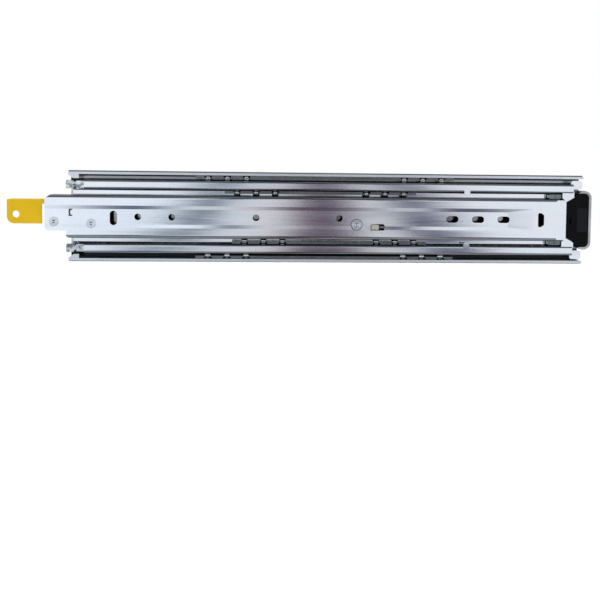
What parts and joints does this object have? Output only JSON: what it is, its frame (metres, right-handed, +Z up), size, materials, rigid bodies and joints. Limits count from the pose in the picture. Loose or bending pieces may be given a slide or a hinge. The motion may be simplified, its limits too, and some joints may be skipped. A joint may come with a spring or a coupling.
{
  "type": "cabinet drawer slide",
  "caption": "Heavy-duty side-mount drawer slide: telescoping zinc-plated channels on ball races, with a yellow front lock lever and a black rear bumper.",
  "frame": {"origin": "centre of the cabinet face, halfway along the cabinet member and halfway up it", "axes": "+X from the front of the cabinet to its back, +Y into the cabinet wall, +Z up; the drawer leaves towards -X"},
  "size_m": [0.4915, 0.0191, 0.0762],
  "materials": {
    "member_steel": "bright zinc-plated rolled steel",
    "retainer_steel": "plain steel strip",
    "ball_steel": "polished bearing steel",
    "rivet_steel": "turned, zinc plated",
    "link_steel": "zinc-plated strip",
    "spring_wire": "drawn spring wire",
    "lever_coating": "yellow coating, satin",
    "nylon": "moulded nylon",
    "bumper_rubber": "black moulded elastomer",
    "bracket_steel": "satin steel strap",
    "stop_steel": "pressed steel"
  },
  "bodies": {
    "cabinet": {"cabinet_member": "member_steel", "rear_bumper": "bumper_rubber", "bumper_bracket": "bracket_steel"},
    "intermediate": {"intermediate_member": "member_steel", "front_stops": "stop_steel"},
    "drawer": {"drawer_member": "member_steel", "drawer_stops": "stop_steel", "lever_pivot_rivet": "rivet_steel", "lever_guide_rivet": "rivet_steel", "lever_spring": "spring_wire", "pawl_rivet": "rivet_steel", "pawl_spring": "spring_wire", "spring_block": "nylon"},
    "upper_outer_race": {"upper_outer_retainer": "retainer_steel", "upper_outer_balls": "ball_steel"},
    "lower_outer_race": {"lower_outer_retainer": "retainer_steel", "lower_outer_balls": "ball_steel"},
    "upper_inner_race": {"upper_inner_retainer": "retainer_steel", "upper_inner_balls": "ball_steel"},
    "lower_inner_race": {"lower_inner_retainer": "retainer_steel", "lower_inner_balls": "ball_steel"},
    "lever": {"lock_lever": "lever_coating"},
    "link": {"link_bar": "link_steel", "link_pins": "rivet_steel"},
    "pawl": {"lockout_pawl": "link_steel"}
  },
  "joints": [
    {"name": "intermediate_slide", "type": "slide", "parent": "cabinet", "child": "intermediate", "axis": [-1, 0, 0], "range_m": [0, 0.19]},
    {"name": "drawer_slide", "type": "slide", "parent": "intermediate", "child": "drawer", "axis": [-1, 0, 0], "range_m": [0, 0.202]},
    {"name": "upper_outer_roll", "type": "slide", "parent": "cabinet", "child": "upper_outer_race", "axis": [-1, 0, 0], "range_m": [0, 0.095]},
    {"name": "lower_outer_roll", "type": "slide", "parent": "cabinet", "child": "lower_outer_race", "axis": [-1, 0, 0], "range_m": [0, 0.095]},
    {"name": "upper_inner_roll", "type": "slide", "parent": "intermediate", "child": "upper_inner_race", "axis": [-1, 0, 0], "range_m": [0, 0.101]},
    {"name": "lower_inner_roll", "type": "slide", "parent": "intermediate", "child": "lower_inner_race", "axis": [-1, 0, 0], "range_m": [0, 0.101]},
    {"name": "lever_pivot", "type": "hinge", "parent": "drawer", "child": "lever", "pos_m": [-0.2287, -0.0156, -0.0043], "axis": [0, 1, 0], "range_deg": [0, 5], "stiffness_Nm_per_rad": 0.1, "springref_deg": -11.46},
    {"name": "link_lift", "type": "slide", "parent": "drawer", "child": "link", "axis": [0, 0, 1], "range_m": [-0.0035, 0]},
    {"name": "pawl_pivot", "type": "hinge", "parent": "drawer", "child": "pawl", "pos_m": [0.0226, -0.0155, -0.0052], "axis": [0, 1, 0], "range_deg": [-14, 0]}
  ],
  "couplings": [
    {"joint": "upper_outer_roll", "follows": "intermediate_slide", "ratio": 0.5},
    {"joint": "lower_outer_roll", "follows": "intermediate_slide", "ratio": 0.5},
    {"joint": "upper_inner_roll", "follows": "drawer_slide", "ratio": 0.5},
    {"joint": "lower_inner_roll", "follows": "drawer_slide", "ratio": 0.5},
    {"joint": "link_lift", "follows": "lever_pivot", "m_per_rad": -0.0387},
    {"joint": "pawl_pivot", "follows": "lever_pivot", "ratio": -2.67}
  ]
}
